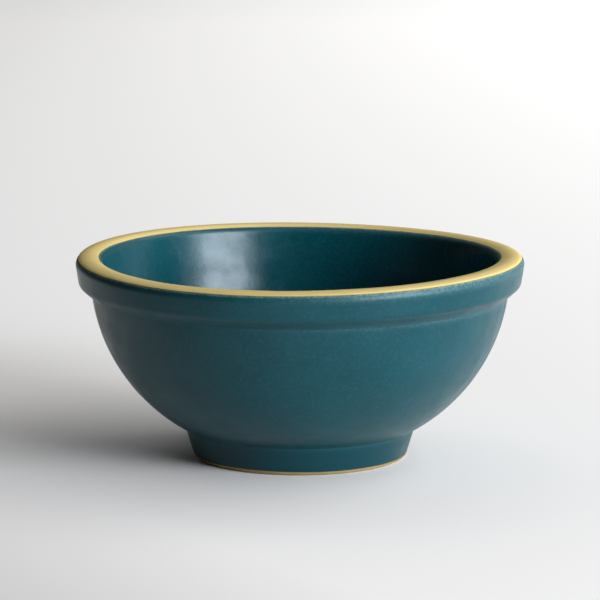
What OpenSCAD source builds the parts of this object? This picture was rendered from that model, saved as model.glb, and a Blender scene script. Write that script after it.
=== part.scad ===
// Stoneware cereal bowl with a bare clay rim collar, a bare foot and three coats of glaze.
// Millimetres, +Z up, origin at the centre of the foot's underside.
// Every piece is turned about Z from one section, drawn as radius and height.

/* [Bowl] */
// Widest diameter of the bowl, across the rim collar
rim_d = 152; // [132:1:180]
// Height of the rim's crown above the table, at its highest place
bowl_h = 69.4; // [60:0.1:84]
// Thickness of the wall and the floor, glaze included
wall_t = 6; // [4:0.1:8]
// Lean of the wall from upright, just below the collar, in degrees
wall_lean = 10.2; // [4:0.2:16]
// Length of straight wall between the collar and the curved belly
straight_l = 3; // [1:0.5:10]
// Height of the underside's middle above the table
belly_gap = 2.2; // [1.2:0.1:5]

/* [Rim and collar] */
// Height from the rim's crown down to the crease under the collar
collar_h = 13.7; // [10:0.1:18]
// How far the collar stands out from the wall under it
collar_out = 5.3; // [3:0.1:8]
// How far the collar's face draws in from its top to its lower edge
collar_taper = 1; // [0.2:0.1:2]
// Height of the collar's slanting underside
collar_bevel = 3.8; // [2.5:0.1:6]
// Radius of the collar's lower edge
collar_round = 2.6; // [1:0.1:3.5]
// Radius of the crease under the collar
crease_round = 0.8; // [0.6:0.1:1.5]
// Radius of the crown across the rim's top
crown_r = 11; // [8:0.5:16]
// Radius of the rim's inner edge
mouth_round = 2.8; // [1:0.1:3.5]
// Radius of the rim's outer edge
lip_round = 3; // [0.8:0.1:3.6]

/* [Foot] */
// Diameter where the foot's side meets the belly
foot_top_d = 78.4; // [74:0.2:92]
// Diameter of the foot's outer side at the table
foot_d = 72.4; // [64:0.2:80]
// Width of the foot ring at the table
foot_w = 6.4; // [5:0.1:10]
// How far the recess draws in from the table to the underside
recess_draft = 1.2; // [0.4:0.1:3]
// Radius of the foot ring's two lower edges
foot_round = 1.6; // [0.8:0.1:2]
// Radius of the creases where the foot meets the belly
foot_crease_round = 0.8; // [0.6:0.1:2]

/* [Glaze] */
// Thickness of the coats
glaze_t = 0.45; // [0.3:0.05:0.6]
// Share of the rim's inner edge that the inside coat covers
mouth_line = 0.85; // [0.2:0.05:0.95]
// Share of the rim's outer edge that stays bare
lip_line = 0.4; // [0.1:0.05:0.8]
// Height of the bare band round the foot
foot_bare = 1.4; // [1.3:0.1:3]

/* [Hidden] */

clay_colour = "#c9b27c";
glaze_colour = "#1f4a53";

// Steps along the section's arcs, and round each turned piece
belly_steps = 40;
crown_steps = 10;
round_steps = 8;
turn_steps = 180;

// Points and arcs of the section
function polar(centre, radius, angle) = centre + radius * [cos(angle), sin(angle)];
function arc(centre, radius, from, to, steps) =
    [for (i = [0:steps]) polar(centre, radius, from + (to - from) * i / steps)];
function unit(v) = v / norm(v);
function angle_of(v) = atan2(v[1], v[0]);
function between(a, b, share) = a + (b - a) * share;
function at_height(a, b, z) = between(a, b, (z - a[1]) / (b[1] - a[1]));
function without_last(points) = [for (i = [0:len(points) - 2]) points[i]];
function reversed(points) = [for (i = [len(points) - 1:-1:0]) points[i]];

// Arc that rounds the corner p, on the way from a to b
function rounded(a, p, b, radius) =
    let (
        to_a = unit(a - p),
        to_b = unit(b - p),
        half = acos(to_a * to_b) / 2,
        centre = p + unit(to_a + to_b) * radius / sin(half),
        from = angle_of(p + to_a * radius / tan(half) - centre),
        to = angle_of(p + to_b * radius / tan(half) - centre),
        turn = (to - from + 540) % 360 - 180
    )
    arc(centre, radius, from, from + turn, round_steps);

// Each point moved into the clay, which lies on the right of the way the section runs
function right_of(a, b) = let (along = unit(b - a)) [along[1], -along[0]];
function inset(points, depth) =
    let (
        last = len(points) - 1,
        normals = [for (i = [0:last - 1]) right_of(points[i], points[i + 1])]
    )
    [for (i = [0:last])
        let (before = normals[max(i - 1, 0)], after = normals[min(i, last - 1)])
        points[i] + depth * (before + after) / (1 + before * after)];

// The belly: an arc about one centre, tangent to the straight wall and level at its lowest point
rim_r = rim_d / 2;
up_wall = [sin(wall_lean), cos(wall_lean)];
into_wall = [-cos(wall_lean), sin(wall_lean)];
crease = [rim_r - collar_out, bowl_h - collar_h];
belly_top = crease - up_wall * straight_l;
belly_r = (belly_top[1] - belly_gap) / (1 - sin(wall_lean));
belly_c = belly_top + into_wall * belly_r;
inside_r = belly_r - wall_t;

// Angle on the belly's circles at a radius from the bowl's axis, and the underside's height there
function belly_angle(radius, from_axis) = -acos(max(0, from_axis - belly_c[0]) / radius);
function axis_angle(radius) = -acos(max(0, -belly_c[0]) / radius);
function underside(from_axis) = [from_axis, polar(belly_c, belly_r, belly_angle(belly_r, from_axis))[1]];

// The level middle of the floor and of the underside, where the belly's centre lies off the axis
function middle(radius) = belly_c[0] > 0 ? [[0, belly_c[1] - radius]] : [];

// The rim: a crown between the rounded inner edge and the rounded outer edge
inside_top = polar(belly_c, inside_r, -wall_lean);
mouth_r = inside_top[0] + (bowl_h - inside_top[1]) * tan(wall_lean);
crown_c = [(mouth_r + rim_r) / 2, bowl_h - crown_r];

mouth_base = inside_top - into_wall * mouth_round - crown_c;
mouth_climb = sqrt(pow(mouth_base * up_wall, 2) - mouth_base * mouth_base + pow(crown_r - mouth_round, 2));
mouth_c = crown_c + mouth_base + up_wall * (mouth_climb - mouth_base * up_wall);
mouth_from = angle_of(into_wall);
mouth_to = angle_of(mouth_c - crown_c);
mouth_at = mouth_from + (mouth_to - mouth_from) * mouth_line;

lip_out = rim_r - lip_round - crown_c[0];
lip_c = crown_c + [lip_out, sqrt(pow(crown_r - lip_round, 2) - pow(lip_out, 2))];
collar_edge = [rim_r - collar_taper, crease[1] + collar_bevel];
lip_from = angle_of(lip_c - crown_c);
lip_to = angle_of(collar_edge - lip_c) + acos(lip_round / norm(collar_edge - lip_c));
lip_at = lip_from + (lip_to - lip_from) * lip_line;

// The foot ring, under the belly
foot_top = underside(foot_top_d / 2);
foot_out = [foot_d / 2, 0];
foot_in = foot_out - [foot_w, 0];
recess_top = underside(foot_in[0] - recess_draft);
recess_under = underside(recess_top[0] - foot_w);
foot_line = at_height(foot_top, foot_out, foot_bare);
recess_line = at_height(recess_top, foot_in, foot_bare);

// The section's five stretches, from the floor's middle over the rim to the underside's middle
belly_outside = arc(belly_c, belly_r, -wall_lean, belly_angle(belly_r, foot_top[0]), belly_steps);
belly_underside =
    arc(belly_c, belly_r, belly_angle(belly_r, recess_under[0]), axis_angle(belly_r), round_steps);

inside_curve = concat(
    middle(inside_r),
    arc(belly_c, inside_r, axis_angle(inside_r), -wall_lean, belly_steps),
    arc(mouth_c, mouth_round, mouth_from, mouth_at, round_steps)
);
rim_curve = concat(
    without_last(arc(mouth_c, mouth_round, mouth_at, mouth_to, round_steps)),
    without_last(arc(crown_c, crown_r, mouth_to, lip_from, crown_steps)),
    arc(lip_c, lip_round, lip_from, lip_at, round_steps)
);
outside_curve = concat(
    arc(lip_c, lip_round, lip_at, lip_to, round_steps),
    rounded(lip_c + [lip_round, 0], collar_edge, crease, collar_round),
    rounded(collar_edge, crease, belly_top, crease_round),
    without_last(belly_outside),
    rounded(belly_outside[belly_steps - 1], foot_top, foot_out, foot_crease_round),
    [foot_line]
);
foot_curve = concat(
    [foot_line],
    rounded(foot_top, foot_out, foot_in, foot_round),
    rounded(foot_out, foot_in, recess_top, foot_round),
    [recess_line]
);
recess_curve = concat(
    [recess_line],
    rounded(foot_in, recess_top, recess_under, foot_crease_round),
    belly_underside,
    middle(belly_r)
);

// The clay's own outline, set back by a coat's thickness wherever glaze covers it
clay_outline = concat(
    inset(inside_curve, glaze_t),
    rim_curve,
    inset(outside_curve, glaze_t),
    foot_curve,
    inset(recess_curve, glaze_t)
);

// A piece turned about the bowl's axis, which its outline may meet and never crosses
module turned(outline) {
    rotate_extrude($fn = turn_steps) polygon([for (p = outline) [max(p[0], 0), p[1]]]);
}

// A coat of glaze on one stretch of the section
module coat(curve) {
    color(glaze_colour) turned(concat(curve, reversed(inset(curve, glaze_t))));
}

// The fired body: wall, floor, rim collar and foot ring in one
module clay_body() {
    color(clay_colour) turned(clay_outline);
}

// The coat that lines the bowl, up over the rim's inner edge
module inside_glaze() {
    coat(inside_curve);
}

// The coat from the rim's outer edge down to the foot's bare band
module outside_glaze() {
    coat(outside_curve);
}

// The coat on the underside, within the foot ring
module recess_glaze() {
    coat(recess_curve);
}

clay_body();
inside_glaze();
outside_glaze();
recess_glaze();
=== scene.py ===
"""Stoneware cereal bowl: a tan clay body with a bare rim and foot, and three coats of teal glaze."""

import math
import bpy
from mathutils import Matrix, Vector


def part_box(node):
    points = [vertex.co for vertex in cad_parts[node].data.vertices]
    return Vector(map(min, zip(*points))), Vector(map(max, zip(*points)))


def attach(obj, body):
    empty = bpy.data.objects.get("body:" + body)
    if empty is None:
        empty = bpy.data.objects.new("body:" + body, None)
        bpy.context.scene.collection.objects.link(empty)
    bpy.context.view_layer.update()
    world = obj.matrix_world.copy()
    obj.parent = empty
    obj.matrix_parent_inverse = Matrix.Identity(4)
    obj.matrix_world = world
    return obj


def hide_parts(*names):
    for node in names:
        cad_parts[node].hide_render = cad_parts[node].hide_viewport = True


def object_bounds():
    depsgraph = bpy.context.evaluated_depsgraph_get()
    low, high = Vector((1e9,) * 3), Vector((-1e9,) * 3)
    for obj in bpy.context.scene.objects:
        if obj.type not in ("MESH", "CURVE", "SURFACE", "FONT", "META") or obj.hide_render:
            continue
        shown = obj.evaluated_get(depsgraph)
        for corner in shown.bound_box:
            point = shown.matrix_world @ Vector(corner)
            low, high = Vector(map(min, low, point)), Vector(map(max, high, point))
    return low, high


bl_info = {
    "name": "Glazed Cereal Bowl",
    "version": (1, 0, 0),
    "blender": (4, 5, 0),
    "location": "3D View > Sidebar > Bowl",
    "description": "Turns a stoneware cereal bowl, glazes it and sets it on a pale table in soft light",
    "category": "Add Mesh",
}

import bmesh
import bpy
from bpy.props import FloatProperty, FloatVectorProperty, IntProperty, PointerProperty
from mathutils import Vector

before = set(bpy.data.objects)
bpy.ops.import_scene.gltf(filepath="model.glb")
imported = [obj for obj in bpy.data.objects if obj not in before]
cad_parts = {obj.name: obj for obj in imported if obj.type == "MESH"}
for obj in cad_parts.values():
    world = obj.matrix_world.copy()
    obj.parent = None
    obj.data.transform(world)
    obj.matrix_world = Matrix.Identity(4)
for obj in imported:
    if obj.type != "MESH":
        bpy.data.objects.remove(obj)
CAD_LOW, CAD_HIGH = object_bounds()
INSIDE_LOW, INSIDE_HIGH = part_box("inside_glaze")
OUTSIDE_LOW, OUTSIDE_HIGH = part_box("outside_glaze")

MM = 0.001
BODY = "root"

# Longest straight step of a section, and the distance within which two vertices are one
LINE_STEP = 1.3 * MM
SAME_PLACE = 0.001 * MM

# Steps along the section's arcs, from the glaze's rolled edges to the whole inside
ROLL_STEPS = 6
CREASE_STEPS = 8
ROUND_STEPS = 10
CROWN_STEPS = 16
OUTSIDE_STEPS = 44
INSIDE_STEPS = 60

# Angle of a circle's lowest place, and the angle between faces under which they shade as one
LOWEST = -math.pi / 2
SMOOTH_UNDER = math.radians(40)

# Glaze lines that tilt from front to back, where the others tilt from left to right
RIM_LINES = ("mouth_line", "lip_line")

# Texture values at which a displaced vertex stays: half way, or at the top, so that waves only sink in
HALF_WAY = 0.5
TOP = 1

# How much a linear blend texture rises over a metre
BLEND_RISE = 0.5

# How far the lattice's corners rise beside the rim's high and low places, as shares of the rim's warp
HIGH_CORNER = 0.5
LOW_CORNER = -1.5

# Range in which most of a noise lies
MOST_NOISE = (0.35, 0.65)

# Sizes of the patterns in the glaze: clouds, mottling, breaks in its thin edges, clouds in its gloss
GLAZE_CLOUDS = 18 * MM
GLAZE_MOTTLING = 1.1 * MM
GLAZE_BREAKS = 0.9 * MM
GLOSS_CLOUDS = 8 * MM

# Size and depth of the glaze's ripple and of its finer peel, and how strongly both show
RIPPLE_SIZE = 4 * MM
RIPPLE_DEPTH = 0.06 * MM
PEEL_SIZE = 0.8 * MM
PEEL_DEPTH = 0.03 * MM
RELIEF = 0.5

# Bend of light in the glaze, the tint of its gloss, and how far its roughness departs from the mean
GLAZE_IOR = 1.38
GLAZE_SHINE = (0.85, 0.95, 1, 1)
GLOSS_SPREAD = 0.05

# How much lower the bare band ends than in the CAD, and where painted shade darkens the glaze at the foot's
# crease, near the table
FOOT_LINE_DROP = 0.25 * MM
FOOT_SHADE_FROM = 0.5 * MM
FOOT_SHADE_TO = -1 * MM

# Across the bowl the halo along the thin glaze grows paler from the left to the right: a painted sheen on
# the side that the lamps light
SHEEN_LEFT = -25 * MM
SHEEN_RIGHT = 45 * MM
SHEEN_LEAST = 0.05
SHEEN_MOST = 0.75

# How high the mask of thin glaze and painted sheen is where the halo starts and is full, and where the clay
# shines through
HALO_FROM = 0.02
HALO_FULL = 0.8
CLAY_SHOWS = 0.86

# Sizes of the clay's clouds and grain, and how deep and strong the grain is
CLAY_CLOUDS = 12 * MM
CLAY_GRAIN = 0.5 * MM
GRAIN_DEPTH = 0.03 * MM
GRAIN_RELIEF = 0.6

# The clay's faint gloss, how far its roughness departs from the mean, and the heights between which painted
# shade darkens the foot's clay near the table
CLAY_GLOSS = 0.25
CLAY_SPREAD = 0.06
CLAY_SHADE_FROM = 6 * MM
CLAY_SHADE_TO = 3 * MM

# The table's size, the way in which painted shade darkens it, and the distances at which that starts and is
# full
TABLE_SIZE = 6
TOWARDS_SHADE = (-0.8, -0.6, 0)
TABLE_SHADE_FROM = 0.1
TABLE_SHADE_TO = 0.42

# Where the backdrop starts and is full behind the bowl, and how it grows from one side to the other
BACKDROP_FROM = 0.05
BACKDROP_TO = 1.4
BACKDROP_SIDE = 0.2
BACKDROP_LEFT = 0.5
BACKDROP_RIGHT = 1.6

# Distance of the soft lamps, the tint of those in front, and the camera's sensor in millimetres
WINDOW_DISTANCE = 2.5
DAYLIGHT = (0.97, 1, 1.07)
SENSOR_WIDTH = 36


def length(name, description, default):
    """A size in metres"""
    return FloatProperty(
        name=name, description=description, default=default, precision=5, unit="LENGTH", subtype="DISTANCE"
    )


def angle(name, description, degrees):
    """An angle, given in degrees"""
    return FloatProperty(
        name=name, description=description, default=math.radians(degrees), unit="ROTATION", subtype="ANGLE"
    )


def share(name, description, default):
    """A share from 0 to 1"""
    return FloatProperty(
        name=name, description=description, default=default, min=0, max=1, subtype="FACTOR"
    )


def colour(name, description, default):
    """A linear colour"""
    return FloatVectorProperty(
        name=name, description=description, default=default, min=0, max=1, size=3, subtype="COLOR"
    )


class BowlShape(bpy.types.PropertyGroup):
    """Sizes of the bowl, as its solids have them"""

    rim_d: length("Rim diameter", "Widest diameter, across the collar", round(CAD_HIGH.x - CAD_LOW.x, 4))
    bowl_h: length("Height", "Height of the rim's highest places above the table", round(CAD_HIGH.z, 4))
    wall_t: length("Wall", "Thickness of the wall and the floor, glaze included", 6 * MM)
    wall_lean: angle("Wall lean", "Lean of the wall from upright, just below the collar", 10.2)
    straight_l: length("Straight wall", "Straight wall between the collar and the curved belly", 3 * MM)
    belly_gap: length("Underside gap", "Height of the underside's middle above the table", 2.2 * MM)
    collar_h: length("Collar height", "Height from the crown down to the collar's crease", 13.7 * MM)
    collar_out: length("Collar overhang", "How far the collar stands out from the wall", 5.3 * MM)
    collar_taper: length("Collar taper", "How far the collar's face draws in on its way down", 1 * MM)
    collar_bevel: length("Collar bevel", "Height of the collar's slanting underside", 3.8 * MM)
    collar_round: length("Collar edge", "Radius of the collar's lower edge", 2.6 * MM)
    crease_round: length("Collar crease", "Radius of the crease under the collar", 0.8 * MM)
    crown_r: length("Crown radius", "Radius across the rim's top, from glaze edge to glaze edge", 11 * MM)
    mouth_round: length("Inner edge", "Radius of the rim's inner edge", 2.8 * MM)
    lip_round: length("Outer edge", "Radius of the rim's outer edge", 3 * MM)
    rim_warp: length("Rim warp", "How much lower the rim's low places are than its high ones", 1.2 * MM)
    warp_turn: angle("Warp turn", "Turn of one of the rim's high places, from the right to the back", -24)
    foot_top_d: length("Foot top", "Diameter where the foot's side meets the belly", 78.4 * MM)
    foot_d: length("Foot diameter", "Diameter of the foot's side at the table", 72.4 * MM)
    foot_w: length("Foot width", "Width of the foot ring at the table", 6.4 * MM)
    recess_draft: length("Recess draft", "How far the recess draws in towards the underside", 1.2 * MM)
    foot_round: length("Foot edges", "Radius of the foot ring's lower edges", 1.6 * MM)
    foot_crease_round: length("Foot creases", "Radius of the creases between foot and belly", 0.8 * MM)
    turn_steps: IntProperty(
        name="Turn steps", description="Steps round each turned piece", default=288, min=24
    )


class GlazeCoat(bpy.types.PropertyGroup):
    """Sizes of the coats of glaze and of the lines where they end"""

    thickness: length("Thickness", "Thickness of the coats", 0.45 * MM)
    mouth_line_h: length("Mouth line", "Height of the inside coat's upper edge", INSIDE_HIGH.z)
    lip_line_h: length("Lip line", "Height of the outside coat's upper edge", OUTSIDE_HIGH.z)
    foot_line_h: length("Foot line", "Height of the foot's bare band", OUTSIDE_LOW.z - FOOT_LINE_DROP)
    step: length("Step", "How far the glaze stands proud of the bare clay beside it", 0.08 * MM)
    edge_round: length("Edge radius", "Radius of the glaze's rolled edges", 0.4 * MM)
    wave_depth: length("Wave depth", "Depth of the slow waves in the glaze's surface", 0.1 * MM)
    wave_size: length("Wave size", "Size of the slow waves in the glaze's surface", 14 * MM)
    wander: length("Line wander", "How far the glaze's edges wander up and down", 0.3 * MM)
    wander_size: length("Wander size", "Size of the waves in the glaze's edges", 22 * MM)
    wander_reach: length("Wander reach", "Distance from an edge at which its wander fades out", 1.8 * MM)
    rim_tilt: angle("Rim line tilt", "Tilt of the rim's two glaze lines, higher in front", 0.24)
    foot_tilt: angle("Foot line tilt", "Tilt of the foot's glaze line, lower on the right", 0.3)
    # Along the rim the band is thinner glaze that also carries a painted sheen
    thin_and_sheen_reach: length("Thin edge", "Width of the band along the rim where the glaze lies thin", 4 * MM)
    # Under the collar the pale band is a painted highlight of the crease, not thinner glaze
    crease_sheen_reach: length("Thin crease", "Width of the thin glaze under the collar", 2.4 * MM)
    crease_place: share("Crease place", "Where under the collar it is thinnest, from edge to crease", 0.9)
    crease_sheen: share("Crease thinness", "How thin the glaze lies under the collar", 0.6)


class BowlFinish(bpy.types.PropertyGroup):
    """Colours and finish of the glaze and the clay"""

    glaze: colour("Glaze", "The glaze where it lies even", (0.002, 0.05, 0.064))
    glaze_deep: colour("Deep glaze", "The glaze in its darker clouds", (0.001, 0.042, 0.054))
    glaze_pale: colour("Pale glaze", "Fine light mottling and specks in the glaze", (0.02, 0.10, 0.12))
    # Foot glaze is painted shade: the glaze darkens on the foot, near the table
    glaze_foot_shade: colour("Foot glaze", "The thicker glaze on the foot", (0.001, 0.034, 0.045))
    glaze_thin: colour("Thin glaze", "The glaze's edges, where the clay shines through", (0.17, 0.22, 0.16))
    # The halo colour is partly thinner glaze and partly a painted sheen, strongest on the lit right
    glaze_halo_and_sheen: colour("Halo glaze", "The thinner glaze beside those edges", (0.062, 0.145, 0.165))
    inside_roughness: share("Inside roughness", "Roughness of the glaze inside the bowl", 0.24)
    outside_roughness: share("Outside roughness", "Roughness of the glaze outside and below", 0.36)
    edge_roughness: share("Edge roughness", "Roughness of the glaze where it lies thin", 0.42)
    clay: colour("Clay", "The bare fired clay", (0.57, 0.45, 0.175))
    clay_dark: colour("Dark clay", "Darker clouds and grains in the clay", (0.465, 0.356, 0.12))
    # Foot clay is painted shade: the bare clay darkens towards the table
    clay_foot_shade: colour("Foot clay", "The bare clay round the foot, dulled by use", (0.27, 0.205, 0.095))
    clay_roughness: share("Clay roughness", "Roughness of the bare clay", 0.8)


class StageSettings(bpy.types.PropertyGroup):
    """Table, lamps and camera"""

    table: colour("Table", "Colour of the table", (0.86, 0.847, 0.828))
    # Table end is painted shade: the table darkens far off to the front and left, away from the lamps
    table_shade: colour("Table end", "Colour of the table far off to the front and left", (0.2, 0.2, 0.2))
    backdrop: share("Backdrop", "How much paler than its light the table looks far behind the bowl", 0.28)
    room: colour("Room", "Dim light from the rest of the room", (0.02, 0.02, 0.02))
    eye: FloatVectorProperty(
        name="Eye",
        description="Place of the camera",
        default=(0, -1.3, 0.2835),
        unit="LENGTH",
        subtype="TRANSLATION",
    )
    pitch: angle("Pitch", "How far the camera looks down", 10.05)
    lens: FloatProperty(
        name="Lens", description="Focal length in millimetres", default=233.2, unit="CAMERA"
    )


def polar(direction):
    """Unit vector of the section at an angle from the radius towards the height"""
    return Vector((math.cos(direction), math.sin(direction)))


def angle_of(vector):
    return math.atan2(vector.y, vector.x)


def short_way(turn):
    """The same turn, taken the short way round"""
    return (turn + math.pi) % math.tau - math.pi


class Arc:
    """Part of a circle in the section; clay is 1 if its centre lies in the clay and -1 if in the air"""

    def __init__(self, centre, radius, start, end, steps, clay):
        self.centre = centre
        self.radius = radius
        self.start = start
        self.end = start + short_way(end - start)
        self.steps = steps
        self.clay = clay

    def at(self, direction):
        return self.centre + self.radius * polar(direction)

    def inset(self, depth):
        """The same arc, deeper in the clay"""
        radius = self.radius - self.clay * depth
        return Arc(self.centre, radius, self.start, self.end, self.steps, self.clay)

    def backwards(self):
        return Arc(self.centre, self.radius, self.end, self.start, self.steps, self.clay)

    def from_angle(self, start):
        """The same arc, begun at another angle"""
        return Arc(self.centre, self.radius, start, self.end, self.steps, self.clay)

    def rolled_start(self, radius, steps):
        """The glaze's rounded edge where a coat begins on this arc, up to its outer face"""
        way = math.copysign(1, self.end - self.start)
        face = self.start + way * math.asin(radius / (self.radius - radius))
        centre = self.centre + (self.radius - radius) * polar(face)
        return Arc(centre, radius, self.start - way * math.pi / 2, face, steps, 1)


def inset(path, depth):
    return [arc.inset(depth) for arc in path]


def backwards(path):
    return [arc.backwards() for arc in reversed(path)]


def corner_arc(before, corner, after, radius, steps, clay):
    """The arc that rounds a corner between two straight lines"""
    to_before = (before - corner).normalized()
    to_after = (after - corner).normalized()
    half = to_before.angle(to_after) / 2
    centre = corner + (to_before + to_after).normalized() * radius / math.sin(half)
    reach = radius / math.tan(half)
    start = angle_of(corner + to_before * reach - centre)
    end = angle_of(corner + to_after * reach - centre)
    return Arc(centre, radius, start, end, steps, clay)


class FootSide:
    """A straight side of the foot ring, from its top down to the table; air points out of the clay"""

    def __init__(self, top, bottom, air):
        self.top = top
        self.down = (bottom - top).normalized()
        self.air = air

    def at_height(self, height, depth=0):
        """The place at a height on the side's face, then moved into the clay"""
        return self.top + self.down * ((height - self.top.y) / self.down.y) - self.air * depth

    def at_table(self, depth):
        """Where the side's line meets the table once it is moved into the clay"""
        moved = self.top - self.air * depth
        return moved - self.down * (moved.y / self.down.y)

    def crease(self, belly_c, belly_r, radius, steps):
        """The arc in the corner under the belly, from the belly to the side"""
        base = self.top + self.air * radius - belly_c
        along = base.dot(self.down)
        slide = math.sqrt(along**2 - base.length_squared + (belly_r + radius) ** 2) - along
        centre = belly_c + base + self.down * slide
        return Arc(centre, radius, angle_of(belly_c - centre), angle_of(-self.air), steps, -1)

    def rolled_end(self, height, radius, steps):
        """The glaze's rounded edge where a coat ends on the side"""
        centre = self.at_height(height, radius) - self.down * radius
        return Arc(centre, radius, angle_of(self.air), angle_of(self.down), steps, 1)


class Section:
    """The bowl's section, as arcs that straight lines join; each place is a radius and a height"""

    def __init__(self, shape, coat):
        self.shape = shape
        self.coat = coat
        self.rim_r = shape.rim_d / 2
        self.lay_out_belly()
        self.lay_out_rim()
        self.lay_out_foot()

    def lay_out_belly(self):
        """The belly: one centre for the inside and the outside, with a straight wall above it"""
        shape = self.shape
        lean = shape.wall_lean
        self.up_wall = Vector((math.sin(lean), math.cos(lean)))
        self.into_wall = Vector((-math.cos(lean), math.sin(lean)))
        self.crease = Vector((self.rim_r - shape.collar_out, shape.bowl_h - shape.collar_h))
        self.belly_top = self.crease - self.up_wall * shape.straight_l
        self.belly_r = (self.belly_top.y - shape.belly_gap) / (1 - math.sin(lean))
        self.belly_c = self.belly_top + self.into_wall * self.belly_r
        self.inside_r = self.belly_r - shape.wall_t

    def lay_out_rim(self):
        """The rim: edge arcs on either side of a crown, and the collar below them"""
        shape = self.shape
        coat = self.coat
        lean = shape.wall_lean
        inside_top = self.belly_c + self.inside_r * polar(-lean)
        mouth_r = inside_top.x + (shape.bowl_h - inside_top.y) * math.tan(lean)
        crown_top = Vector(((mouth_r + self.rim_r) / 2, shape.bowl_h))
        crown_c = crown_top - Vector((0, shape.crown_r))
        base = inside_top - self.into_wall * shape.mouth_round - crown_c
        along = base.dot(self.up_wall)
        climb = math.sqrt(along**2 - base.length_squared + (shape.crown_r - shape.mouth_round) ** 2) - along
        mouth_c = crown_c + base + self.up_wall * climb
        lip_out = self.rim_r - shape.lip_round - crown_c.x
        lip_c = crown_c + Vector((lip_out, math.sqrt((shape.crown_r - shape.lip_round) ** 2 - lip_out**2)))
        mouth_line = math.pi - math.asin((coat.mouth_line_h - mouth_c.y) / shape.mouth_round)
        lip_line = math.asin((coat.lip_line_h - lip_c.y) / shape.lip_round)

        collar_face = lip_c + Vector((shape.lip_round, 0))
        collar_edge = Vector((self.rim_r - shape.collar_taper, self.crease.y + shape.collar_bevel))
        self.collar_under = collar_edge.lerp(self.crease, coat.crease_place)
        to_edge = collar_edge - lip_c
        lip_end = angle_of(to_edge) + math.acos(shape.lip_round / to_edge.length)
        self.mouth = Arc(mouth_c, shape.mouth_round, mouth_line, math.pi - lean, CREASE_STEPS, 1)
        self.lip = Arc(lip_c, shape.lip_round, lip_line, lip_end, ROUND_STEPS, 1)
        self.collar = [
            corner_arc(collar_face, collar_edge, self.crease, shape.collar_round, ROUND_STEPS, 1),
            corner_arc(collar_edge, self.crease, self.belly_top, shape.crease_round, CREASE_STEPS, -1),
        ]

        # The bare rim lies a step lower than the glaze at its edges and still reaches the full height
        bare_mouth_r = shape.mouth_round - coat.step
        drop = mouth_c - crown_top
        bare_crown_r = (bare_mouth_r**2 - drop.length_squared) / (drop.y + bare_mouth_r) / 2
        bare_crown_c = crown_top - Vector((0, bare_crown_r))
        bare_lip_r = bare_crown_r - (lip_c - bare_crown_c).length
        crown_from = angle_of(mouth_c - bare_crown_c)
        crown_to = angle_of(lip_c - bare_crown_c)
        self.bare_rim = [
            Arc(mouth_c, bare_mouth_r, mouth_line, crown_from, CREASE_STEPS, 1),
            Arc(bare_crown_c, bare_crown_r, crown_from, crown_to, CROWN_STEPS, 1),
            Arc(lip_c, bare_lip_r, crown_to, lip_line, ROLL_STEPS, 1),
        ]

    def lay_out_foot(self):
        """The foot ring: two straight sides under the belly, with rounded creases and lower edges"""
        shape = self.shape
        coat = self.coat
        foot_top = self.under_belly(shape.foot_top_d / 2)
        foot_out = Vector((shape.foot_d / 2, 0))
        foot_in = foot_out - Vector((shape.foot_w, 0))
        recess_top = self.under_belly(foot_in.x - shape.recess_draft)
        outer_air = Vector((foot_top.y - foot_out.y, foot_out.x - foot_top.x)).normalized()
        inner_air = Vector((foot_in.y - recess_top.y, recess_top.x - foot_in.x)).normalized()
        self.outer_side = FootSide(foot_top, foot_out, outer_air)
        self.inner_side = FootSide(recess_top, foot_in, inner_air)
        crease = (self.belly_c, self.belly_r, shape.foot_crease_round, CREASE_STEPS)
        self.foot_crease = self.outer_side.crease(*crease)
        self.recess_crease = self.inner_side.crease(*crease)

        # The bare foot lies a step lower than the glaze at its sides
        bare_out = self.outer_side.at_height(coat.foot_line_h, coat.step)
        bare_in = self.inner_side.at_height(coat.foot_line_h, coat.step)
        out_corner = self.outer_side.at_table(coat.step)
        in_corner = self.inner_side.at_table(coat.step)
        self.bare_foot = [
            bare_out,
            corner_arc(bare_out, out_corner, in_corner, shape.foot_round, ROUND_STEPS, 1),
            corner_arc(out_corner, in_corner, bare_in, shape.foot_round, ROUND_STEPS, 1),
            bare_in,
        ]

    def under_belly(self, radius):
        """The place on the belly's underside at a radius from the bowl's axis"""
        fall = math.sqrt(self.belly_r**2 - (radius - self.belly_c.x) ** 2)
        return Vector((radius, self.belly_c.y - fall))

    def inside_belly(self):
        return Arc(self.belly_c, self.inside_r, -self.shape.wall_lean, LOWEST, INSIDE_STEPS, -1)

    def outside_belly(self):
        foot = angle_of(self.foot_crease.centre - self.belly_c)
        return Arc(self.belly_c, self.belly_r, -self.shape.wall_lean, foot, OUTSIDE_STEPS, 1)

    def underside(self):
        recess = angle_of(self.recess_crease.centre - self.belly_c)
        return Arc(self.belly_c, self.belly_r, recess, LOWEST, CROWN_STEPS, 1)

    def floor_middle(self, depth=0):
        return Vector((0, self.belly_c.y - self.inside_r - depth))

    def underside_middle(self, depth=0):
        return Vector((0, self.shape.belly_gap + depth))

    def inside_cover(self):
        """The inside from the mouth's glaze line down to the level floor"""
        return [self.mouth, self.inside_belly()]

    def outside_cover(self):
        """The outside from the lip's glaze line down to the foot's side"""
        return [self.lip, *self.collar, self.outside_belly(), self.foot_crease]

    def recess_cover(self):
        """The underside from the recess's side to its level middle"""
        return [self.recess_crease.backwards(), self.underside()]

    def clay_path(self):
        """The clay's whole outline, from the floor's middle over the rim to the underside's middle"""
        depth = self.coat.thickness
        line_h = self.coat.foot_line_h
        return [
            self.floor_middle(depth),
            *backwards(inset(self.inside_cover(), depth)),
            *self.bare_rim,
            *inset(self.outside_cover(), depth),
            self.outer_side.at_height(line_h, depth),
            *self.bare_foot,
            self.inner_side.at_height(line_h, depth),
            *inset(self.recess_cover(), depth),
            self.underside_middle(depth),
        ]

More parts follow.
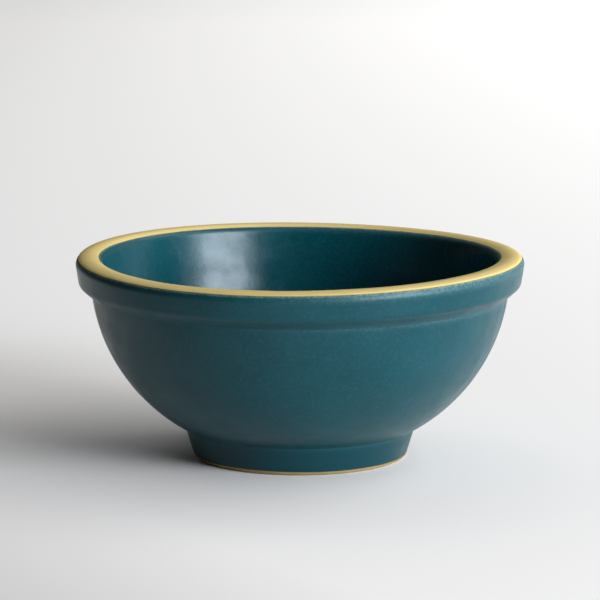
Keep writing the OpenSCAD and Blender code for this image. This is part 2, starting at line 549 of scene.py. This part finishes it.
    def inside_coat(self):
        """The back and the face of the inside coat"""
        depth = self.coat.thickness
        roll = self.mouth.rolled_start(self.coat.edge_round, ROLL_STEPS)
        back = [self.floor_middle(depth), *backwards(inset(self.inside_cover(), depth))]
        face = [roll, self.mouth.from_angle(roll.end), self.inside_belly(), self.floor_middle()]
        return back, face

    def outside_coat(self):
        """The back and the face of the outside coat, which come round to where they began"""
        depth = self.coat.thickness
        line_h = self.coat.foot_line_h
        end = self.outer_side.at_height(line_h, depth)
        roll = self.lip.rolled_start(self.coat.edge_round, ROLL_STEPS)
        back = [end, *backwards(inset(self.outside_cover(), depth))]
        face = [
            roll,
            self.lip.from_angle(roll.end),
            *self.outside_cover()[1:],
            self.outer_side.rolled_end(line_h, self.coat.edge_round, ROLL_STEPS),
            end,
        ]
        return back, face

    def recess_coat(self):
        """The back and the face of the coat on the underside"""
        depth = self.coat.thickness
        line_h = self.coat.foot_line_h
        roll = self.inner_side.rolled_end(line_h, self.coat.edge_round, ROLL_STEPS).backwards()
        back = [
            self.underside_middle(depth),
            *backwards(inset(self.recess_cover(), depth)),
            self.inner_side.at_height(line_h, depth),
        ]
        face = [roll, *self.recess_cover(), self.underside_middle()]
        return back, face

    def glaze_lines(self):
        """The places where the coats end"""
        line_h = self.coat.foot_line_h
        return {
            "mouth_line": self.mouth.at(self.mouth.start),
            "lip_line": self.lip.at(self.lip.start),
            "foot_line": self.outer_side.at_height(line_h),
            "recess_line": self.inner_side.at_height(line_h),
        }

    def thin_and_sheen_places(self):
        """The places about which each coat's mask of thin glaze and painted sheen rises, how far round them
        and how high
        """
        coat = self.coat
        lines = self.glaze_lines()
        return {
            "inside_glaze": [(lines["mouth_line"], coat.thin_and_sheen_reach, 1)],
            "outside_glaze": [
                (lines["lip_line"], coat.thin_and_sheen_reach, 1),
                # A painted highlight in the crease under the collar, not thin glaze
                (self.collar_under, coat.crease_sheen_reach, coat.crease_sheen),
            ],
            "recess_glaze": [],
        }


def deselect_all():
    if bpy.context.object is not None and bpy.context.object.mode != "OBJECT":
        bpy.ops.object.mode_set(mode="OBJECT")
    bpy.ops.object.select_all(action="DESELECT")


def select_only(piece):
    deselect_all()
    piece.select_set(True)
    bpy.context.view_layer.objects.active = piece


class SectionPen:
    """Draws a section in edit mode: its last vertex is extruded along lines and spun round arcs"""

    def __init__(self, name, start):
        deselect_all()
        bpy.ops.mesh.primitive_plane_add(size=LINE_STEP, location=(start.x, 0, start.y))
        bpy.ops.object.transform_apply(location=True, rotation=False, scale=False)
        self.piece = bpy.context.object
        self.piece.name = name
        self.piece.data.name = name
        self.tip = start
        bpy.ops.object.mode_set(mode="EDIT")
        bpy.ops.mesh.select_all(action="SELECT")
        bpy.ops.mesh.merge(type="CENTER")
        # Edit mode is entered afresh, so that vertices are numbered in the order in which they are drawn
        bpy.ops.object.mode_set(mode="OBJECT")
        bpy.ops.object.mode_set(mode="EDIT")

    def line_to(self, place):
        away = place - self.tip
        if away.length < SAME_PLACE:
            return
        steps = math.ceil(away.length / LINE_STEP)
        stride = away / steps
        for _ in range(steps):
            bpy.ops.mesh.extrude_region_move(TRANSFORM_OT_translate={"value": (stride.x, 0, stride.y)})
        self.tip = place

    def arc(self, arc):
        self.line_to(arc.at(arc.start))
        centre = (arc.centre.x, 0, arc.centre.y)
        bpy.ops.mesh.spin(steps=arc.steps, angle=arc.end - arc.start, center=centre, axis=(0, 1, 0))
        self.tip = arc.at(arc.end)

    def path(self, path):
        for part in path:
            if isinstance(part, Arc):
                self.arc(part)
            else:
                self.line_to(part)

    def drawn(self):
        """How many vertices the section has"""
        return len(bmesh.from_edit_mesh(self.piece.data).verts)

    def turn(self, steps):
        """Spins the section round the bowl's axis, and closes the seam and the middle"""
        bpy.ops.object.mode_set(mode="EDIT")
        bpy.ops.mesh.select_all(action="SELECT")
        bpy.ops.mesh.spin(steps=steps, angle=math.tau, center=(0, 0, 0), axis=(0, 0, 1))
        bpy.ops.mesh.select_all(action="SELECT")
        bpy.ops.mesh.remove_doubles(threshold=SAME_PLACE)
        bpy.ops.mesh.normals_make_consistent(inside=False)
        bpy.ops.object.mode_set(mode="OBJECT")


def displace(piece, group, texture, strength, middle, direction):
    """Moves a group's vertices by a texture, for good"""
    bpy.ops.object.modifier_add(type="DISPLACE")
    modifier = piece.modifiers[-1]
    modifier.vertex_group = group
    modifier.texture = texture
    modifier.strength = strength
    modifier.mid_level = middle
    modifier.direction = direction
    bpy.ops.object.modifier_apply(modifier=modifier.name)


def clouds(name, size):
    texture = bpy.data.textures.new(name, "CLOUDS")
    texture.noise_scale = size
    return texture


def nearness(vertex, place, reach):
    """1 at a place, easing to 0 at some distance from it; for a vertex of the drawn section"""
    away = Vector((vertex.co.x, vertex.co.z)) - place
    near = max(0, 1 - away.length / reach)
    return near * near * (3 - 2 * near)


def mark_lines(piece, lines, reach):
    """A vertex group for each glaze line, on the drawn section"""
    for name, line in lines.items():
        group = piece.vertex_groups.new(name=name)
        for vertex in piece.data.vertices:
            group.add([vertex.index], nearness(vertex, line, reach), "REPLACE")


def mark_face(piece, first, places):
    """A vertex group for the coat's face, from one drawn vertex on, and its mask of thin glaze and painted
    sheen
    """
    face = piece.vertex_groups.new(name="face")
    thin_and_sheen = piece.data.attributes.new("thin_and_sheen", "FLOAT", "POINT")
    for vertex in piece.data.vertices[first:]:
        face.add([vertex.index], 1, "REPLACE")
        near = [nearness(vertex, place, reach) * amount for place, reach, amount in places]
        thin_and_sheen.data[vertex.index].value = max(near, default=0)


def wander_lines(piece, lines, coat):
    """Lets the glaze lines wander and tilt, the same way on the clay and on the coat that ends there"""
    for name in lines:
        displace(piece, name, clouds("line_wander", coat.wander_size), coat.wander, HALF_WAY, "Z")
        slope = bpy.data.textures.new("line_slope", "BLEND")
        tilt = coat.foot_tilt
        if name in RIM_LINES:
            slope.use_flip_axis = "VERTICAL"
            tilt = coat.rim_tilt
        displace(piece, name, slope, -math.tan(tilt) / BLEND_RISE, HALF_WAY, "Z")


def warp_rim(piece, section):
    """Lets the rim rise and fall twice round the bowl, with a lattice that reaches down to the crease"""
    shape = section.shape
    low = section.crease.y
    height = shape.bowl_h - low
    middle = (0, 0, low + height / 2)
    bpy.ops.object.add(type="LATTICE", location=middle, rotation=(0, 0, shape.warp_turn + math.pi / 4))
    lattice = bpy.context.object
    lattice.scale = (shape.rim_d, shape.rim_d, height)
    data = lattice.data
    data.interpolation_type_u = data.interpolation_type_v = data.interpolation_type_w = "KEY_LINEAR"
    for point in data.points:
        if point.co.z > 0:
            # On the rim's circle, half of what sets a corner apart from the corners' mean is left
            rise = HIGH_CORNER if point.co.x * point.co.y < 0 else LOW_CORNER
            point.co_deform.z += rise * shape.rim_warp / height
    select_only(piece)
    bpy.ops.object.modifier_add(type="LATTICE")
    modifier = piece.modifiers[-1]
    modifier.object = lattice
    bpy.ops.object.modifier_apply(modifier=modifier.name)
    bpy.data.objects.remove(lattice)


def finish_piece(piece, material):
    """Smooths and colours a piece, and lets it ride on the bowl's one body"""
    piece.vertex_groups.clear()
    bpy.ops.object.shade_smooth_by_angle(angle=SMOOTH_UNDER)
    piece.data.materials.clear()
    piece.data.materials.append(material)
    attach(piece, BODY)


def bowl_section(context):
    """The section that the scene's settings give"""
    return Section(context.scene.bowl_shape, context.scene.bowl_glaze)


def lay_coat(section, node, back, face, line_names, material):
    """Draws and turns one coat of glaze, to stand for a CAD node"""
    coat = section.coat
    lines = {name: line for name, line in section.glaze_lines().items() if name in line_names}
    pen = SectionPen(node + "_coat", back[0])
    pen.path(back)
    first = pen.drawn()
    pen.path(face)
    bpy.ops.object.mode_set(mode="OBJECT")
    piece = pen.piece
    mark_lines(piece, lines, coat.wander_reach)
    mark_face(piece, first, section.thin_and_sheen_places()[node])
    pen.turn(section.shape.turn_steps)
    displace(piece, "face", clouds("glaze_waves", coat.wave_size), coat.wave_depth, TOP, "NORMAL")
    wander_lines(piece, lines, coat)
    warp_rim(piece, section)
    finish_piece(piece, material)
    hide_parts(node)


def add_node(tree, kind, inputs=None, **settings):
    """A shader node with its settings, and its inputs given as values or linked to sockets"""
    node = tree.nodes.new(kind)
    for name, value in settings.items():
        setattr(node, name, value)
    for name, value in (inputs or {}).items():
        if isinstance(value, bpy.types.NodeSocket):
            tree.links.new(value, node.inputs[name])
        else:
            node.inputs[name].default_value = value
    return node


def new_material(name):
    """An empty node material, with its tree"""
    material = bpy.data.materials.new(name)
    material.use_nodes = True
    material.node_tree.nodes.clear()
    return material, material.node_tree


def rgba(values):
    return (*values, 1)


def noise(tree, place, size, detail=3):
    """Noise with features of about that size in metres"""
    inputs = {"Vector": place, "Scale": 1 / size, "Detail": detail}
    return add_node(tree, "ShaderNodeTexNoise", inputs).outputs["Fac"]


def between(tree, value, low, high, to_low=0.0, to_high=1.0):
    """A value's range brought to another, and kept within it"""
    inputs = {"Value": value, "From Min": low, "From Max": high, "To Min": to_low, "To Max": to_high}
    return add_node(tree, "ShaderNodeMapRange", inputs).outputs["Result"]


def mixed(tree, amount, first, second):
    """Two colours mixed"""
    node = add_node(tree, "ShaderNodeMix", {"Factor": amount}, data_type="RGBA")
    for name, value in (("A", first), ("B", second)):
        socket = next(s for s in node.inputs if s.name == name and s.type == "RGBA")
        if isinstance(value, bpy.types.NodeSocket):
            tree.links.new(value, socket)
        else:
            socket.default_value = rgba(value)
    return next(s for s in node.outputs if s.type == "RGBA")


def product(tree, first, second):
    return add_node(tree, "ShaderNodeMath", {0: first, 1: second}, operation="MULTIPLY").outputs["Value"]


def larger(tree, first, second):
    return add_node(tree, "ShaderNodeMath", {0: first, 1: second}, operation="MAXIMUM").outputs["Value"]


def specks(tree, place, cell, radius, kept):
    """1 inside small round specks, which a share of the cells holds"""
    cells = add_node(tree, "ShaderNodeTexVoronoi", {"Vector": place, "Scale": 1 / cell})
    near = between(tree, cells.outputs["Distance"], radius / cell, radius / cell / 2)
    pick = add_node(tree, "ShaderNodeSeparateColor", {"Color": cells.outputs["Color"]})
    chosen = add_node(tree, "ShaderNodeMath", {0: pick.outputs["Red"], 1: kept}, operation="LESS_THAN")
    return product(tree, near, chosen.outputs["Value"])


def bump(tree, height, strength, distance, below=None):
    """A bump of a height in metres, on top of another"""
    inputs = {"Height": height, "Strength": strength, "Distance": distance}
    if below is not None:
        inputs["Normal"] = below
    return add_node(tree, "ShaderNodeBump", inputs).outputs["Normal"]


def glaze_colour(tree, finish, place, thin_and_sheen, foot_h):
    """Clouds, mottling and a few pale specks, with painted shade on the foot, paler where the glaze lies
    thin, and a painted sheen on the lit right
    """
    slow = noise(tree, place, GLAZE_CLOUDS)
    fine = noise(tree, place, GLAZE_MOTTLING, detail=2)
    clouded = mixed(tree, between(tree, slow, *MOST_NOISE), finish.glaze_deep, finish.glaze)
    mottled = mixed(tree, between(tree, fine, 0.48, 0.8, 0, 0.3), clouded, finish.glaze_pale)
    pale_specks = specks(tree, place, cell=7 * MM, radius=0.25 * MM, kept=0.06)
    specked = mixed(tree, pale_specks, mottled, finish.glaze_pale)
    axes = add_node(tree, "ShaderNodeSeparateXYZ", {"Vector": place}).outputs
    # Painted shade: the glaze darkens below the foot's crease, towards the table
    foot_shade = between(tree, axes["Z"], foot_h + FOOT_SHADE_FROM, foot_h + FOOT_SHADE_TO)
    foot_shaded = mixed(tree, foot_shade, specked, finish.glaze_foot_shade)

    # A broken pale halo along the thin edges, which grows paler to the lit right as a painted sheen, a
    # painted highlight under the collar, and the clay that shines through the edges themselves
    broken = between(tree, noise(tree, place, GLAZE_BREAKS), 0.38, 0.62, 0.3, 1)
    # Painted sheen: the halo grows paler from the left to the lit right
    painted_sheen = between(tree, axes["X"], SHEEN_LEFT, SHEEN_RIGHT, SHEEN_LEAST, SHEEN_MOST)
    halo_and_sheen = product(tree, product(tree, between(tree, thin_and_sheen, HALO_FROM, HALO_FULL), painted_sheen), broken)
    with_halo_and_sheen = mixed(tree, halo_and_sheen, foot_shaded, finish.glaze_halo_and_sheen)
    edge = product(tree, between(tree, thin_and_sheen, CLAY_SHOWS, 1), broken)
    return mixed(tree, edge, with_halo_and_sheen, finish.glaze_thin)


def glaze_roughness(tree, finish, place, thin_and_sheen, mean):
    """Cloudy about its mean, and rougher where the mask of thin glaze and painted sheen rises"""
    smoothest = mean - GLOSS_SPREAD
    slow = noise(tree, place, GLOSS_CLOUDS)
    cloudy = between(tree, slow, *MOST_NOISE, smoothest, mean + GLOSS_SPREAD)
    return larger(tree, cloudy, between(tree, thin_and_sheen, 0, 0.7, smoothest, finish.edge_roughness))


def glaze_material(finish, name, roughness, foot_h=0):
    """Satin teal glaze with a fine ripple, and painted shade below the height foot_h"""
    material, tree = new_material(name)
    place = add_node(tree, "ShaderNodeTexCoord").outputs["Object"]
    thin_and_sheen = add_node(tree, "ShaderNodeAttribute", attribute_name="thin_and_sheen").outputs["Fac"]
    ripple = bump(tree, noise(tree, place, RIPPLE_SIZE), RELIEF, RIPPLE_DEPTH)
    peel = noise(tree, place, PEEL_SIZE, detail=1)
    shader = add_node(
        tree,
        "ShaderNodeBsdfPrincipled",
        {
            "Base Color": glaze_colour(tree, finish, place, thin_and_sheen, foot_h),
            "Roughness": glaze_roughness(tree, finish, place, thin_and_sheen, roughness),
            "Normal": bump(tree, peel, RELIEF, PEEL_DEPTH, ripple),
            "IOR": GLAZE_IOR,
            "Specular Tint": GLAZE_SHINE,
        },
    )
    add_node(tree, "ShaderNodeOutputMaterial", {"Surface": shader.outputs["BSDF"]})
    return material


def clay_material(finish):
    """Dry fired clay: soft clouds, fine grain and a few dark grains, with painted shade at the foot near
    the table
    """
    material, tree = new_material("bare_stoneware")
    place = add_node(tree, "ShaderNodeTexCoord").outputs["Object"]
    slow = noise(tree, place, CLAY_CLOUDS)
    grain = noise(tree, place, CLAY_GRAIN)
    clouded = mixed(tree, between(tree, slow, 0.4, 0.75, 0, 0.35), finish.clay, finish.clay_dark)
    grained = mixed(tree, between(tree, grain, 0.5, 0.8, 0, 0.3), clouded, finish.clay_dark)
    height = add_node(tree, "ShaderNodeSeparateXYZ", {"Vector": place}).outputs["Z"]
    # Painted shade: the clay darkens towards the table round the foot
    clay_foot_shaded = mixed(tree, between(tree, height, CLAY_SHADE_FROM, CLAY_SHADE_TO), grained, finish.clay_foot_shade)
    dark_grains = specks(tree, place, cell=3.5 * MM, radius=0.16 * MM, kept=0.3)
    specked = mixed(tree, dark_grains, clay_foot_shaded, finish.clay_dark)
    mean = finish.clay_roughness
    rough = between(tree, grain, 0.3, 0.7, mean - CLAY_SPREAD, mean + CLAY_SPREAD)
    shader = add_node(
        tree,
        "ShaderNodeBsdfPrincipled",
        {
            "Base Color": specked,
            "Roughness": rough,
            "Normal": bump(tree, grain, GRAIN_RELIEF, GRAIN_DEPTH),
            "Specular IOR Level": CLAY_GLOSS,
        },
    )
    add_node(tree, "ShaderNodeOutputMaterial", {"Surface": shader.outputs["BSDF"]})
    return material


class BOWL_OT_clay_body(bpy.types.Operator):
    """Turns the clay body, with its wall, floor, rim collar and foot ring"""

    bl_idname = "cereal_bowl.clay_body"
    bl_label = "Clay Body"

    def execute(self, context):
        section = bowl_section(context)
        coat = section.coat
        lines = section.glaze_lines()
        path = section.clay_path()
        pen = SectionPen("clay_body_turned", path[0])
        pen.path(path)
        bpy.ops.object.mode_set(mode="OBJECT")
        mark_lines(pen.piece, lines, coat.wander_reach)
        pen.turn(section.shape.turn_steps)
        wander_lines(pen.piece, lines, coat)
        warp_rim(pen.piece, section)
        finish_piece(pen.piece, clay_material(context.scene.bowl_finish))
        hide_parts("clay_body")
        return {"FINISHED"}


class BOWL_OT_glaze(bpy.types.Operator):
    """Lays the three coats of glaze: inside, outside and in the foot's recess"""

    bl_idname = "cereal_bowl.glaze"
    bl_label = "Glaze"

    def execute(self, context):
        finish = context.scene.bowl_finish
        section = bowl_section(context)
        foot_h = section.foot_crease.centre.y
        inside = glaze_material(finish, "teal_inside_glaze", finish.inside_roughness)
        outside = glaze_material(finish, "teal_outside_glaze", finish.outside_roughness, foot_h)
        lay_coat(section, "inside_glaze", *section.inside_coat(), ["mouth_line"], inside)
        lay_coat(section, "outside_glaze", *section.outside_coat(), ["lip_line", "foot_line"], outside)
        lay_coat(section, "recess_glaze", *section.recess_coat(), ["recess_line"], outside)
        return {"FINISHED"}


def table_material(stage):
    """Pale table, with painted shade far off to the front and left, paler far behind, and clear from below
    """
    material, tree = new_material("pale_table")
    place = add_node(tree, "ShaderNodeTexCoord").outputs["Object"]
    # Painted shade: the table darkens towards the front and left
    away = add_node(tree, "ShaderNodeVectorMath", {0: place, 1: TOWARDS_SHADE}, operation="DOT_PRODUCT")
    painted_table_shade = between(tree, away.outputs["Value"], TABLE_SHADE_FROM, TABLE_SHADE_TO)
    surface = mixed(tree, painted_table_shade, stage.table, stage.table_shade)
    diffuse = add_node(tree, "ShaderNodeBsdfDiffuse", {"Color": surface})

    # The eye and reflections see the far table as a pale backdrop, and it lights nothing
    axes = add_node(tree, "ShaderNodeSeparateXYZ", {"Vector": place}).outputs
    across = between(tree, axes["X"], -BACKDROP_SIDE, BACKDROP_SIDE, BACKDROP_LEFT, BACKDROP_RIGHT)
    behind = product(tree, between(tree, axes["Y"], BACKDROP_FROM, BACKDROP_TO, 0, stage.backdrop), across)
    ray = add_node(tree, "ShaderNodeLightPath").outputs
    mirrored = larger(tree, ray["Is Glossy Ray"], ray["Is Transmission Ray"])
    seen = larger(tree, ray["Is Camera Ray"], mirrored)
    glow = add_node(tree, "ShaderNodeEmission", {"Strength": product(tree, behind, seen)})
    lit = add_node(tree, "ShaderNodeAddShader", {0: diffuse.outputs["BSDF"], 1: glow.outputs["Emission"]})

    clear = add_node(tree, "ShaderNodeBsdfTransparent")
    below = add_node(tree, "ShaderNodeNewGeometry").outputs["Backfacing"]
    sides = {0: below, 1: lit.outputs["Shader"], 2: clear.outputs["BSDF"]}
    mix = add_node(tree, "ShaderNodeMixShader", sides)
    add_node(tree, "ShaderNodeOutputMaterial", {"Surface": mix.outputs["Shader"]})
    return material


def add_window(name, direction, size, brightness, tint=(1, 1, 1), mirrored=True):
    """A soft lamp that faces the bowl

    Its direction is an azimuth, from the camera's side to the right, and an elevation. Its size is a
    width and a height, as the bowl sees them. All four are in degrees. A brightness of 1 is that of a
    white table in full light. Gloss shows only the lamps that are mirrored.
    """
    azimuth, elevation = map(math.radians, direction)
    width, height = map(math.radians, size)
    level = Vector((math.sin(azimuth), -math.cos(azimuth), 0))
    away = level * math.cos(elevation) + Vector((0, 0, math.sin(elevation)))
    bpy.ops.object.light_add(type="AREA", location=away * WINDOW_DISTANCE)
    lamp = bpy.context.object
    lamp.name = name
    lamp.rotation_euler = away.to_track_quat("Z", "Y").to_euler()
    lamp.visible_camera = False
    lamp.visible_glossy = mirrored
    lamp.data.shape = "RECTANGLE"
    lamp.data.size = 2 * WINDOW_DISTANCE * math.tan(width / 2)
    lamp.data.size_y = 2 * WINDOW_DISTANCE * math.tan(height / 2)
    lamp.data.energy = brightness * math.pi * lamp.data.size * lamp.data.size_y
    lamp.data.color = tint


class BOWL_OT_stage(bpy.types.Operator):
    """Sets the table, the lamps and the camera"""

    bl_idname = "cereal_bowl.stage"
    bl_label = "Stage"

    def execute(self, context):
        scene = context.scene
        stage = scene.bowl_stage
        deselect_all()
        bpy.ops.mesh.primitive_plane_add(size=TABLE_SIZE)
        table = context.object
        table.name = "table"
        table.data.materials.append(table_material(stage))

        add_window("front_window", (50, 17), (29, 20), 17.5, tint=DAYLIGHT)
        add_window("front_blind", (52, 17), (48, 22), 2.5, tint=DAYLIGHT)
        add_window("side_window", (95, 47), (70, 22), 3.3)
        add_window("low_window", (74, 5), (64, 10), 13, mirrored=False)
        add_window("back_window", (118, 12), (34, 20), 0.7)
        add_window("ceiling", (90, 85), (70, 70), 0.15)
        add_window("fill", (190, 48), (70, 40), 0.8, mirrored=False)

        world = bpy.data.worlds.new("room")
        world.use_nodes = True
        world.node_tree.nodes["Background"].inputs["Color"].default_value = rgba(stage.room)
        scene.world = world

        bpy.ops.object.camera_add(location=stage.eye, rotation=(math.pi / 2 - stage.pitch, 0, 0))
        camera = context.object
        camera.data.lens = stage.lens
        camera.data.sensor_width = SENSOR_WIDTH
        scene.camera = camera
        scene.view_settings.view_transform = "Standard"
        return {"FINISHED"}


class BOWL_PT_panel(bpy.types.Panel):
    """The bowl's steps and settings"""

    bl_label = "Cereal Bowl"
    bl_idname = "BOWL_PT_panel"
    bl_space_type = "VIEW_3D"
    bl_region_type = "UI"
    bl_category = "Bowl"

    def draw(self, context):
        layout = self.layout
        for step in (BOWL_OT_clay_body, BOWL_OT_glaze, BOWL_OT_stage):
            layout.operator(step.bl_idname)
        for group in SETTINGS:
            settings = getattr(context.scene, group)
            box = layout.box()
            for name in settings.__annotations__:
                box.prop(settings, name)


SETTINGS = {
    "bowl_shape": BowlShape,
    "bowl_glaze": GlazeCoat,
    "bowl_finish": BowlFinish,
    "bowl_stage": StageSettings,
}
CLASSES = (*SETTINGS.values(), BOWL_OT_clay_body, BOWL_OT_glaze, BOWL_OT_stage, BOWL_PT_panel)


def register():
    for cls in CLASSES:
        bpy.utils.register_class(cls)
    for name, group in SETTINGS.items():
        setattr(bpy.types.Scene, name, PointerProperty(type=group))


def unregister():
    for name in SETTINGS:
        delattr(bpy.types.Scene, name)
    for cls in reversed(CLASSES):
        bpy.utils.unregister_class(cls)


def main():
    register()
    bpy.ops.cereal_bowl.clay_body()
    bpy.ops.cereal_bowl.glaze()
    bpy.ops.cereal_bowl.stage()


if __name__ == "__main__":
    main()
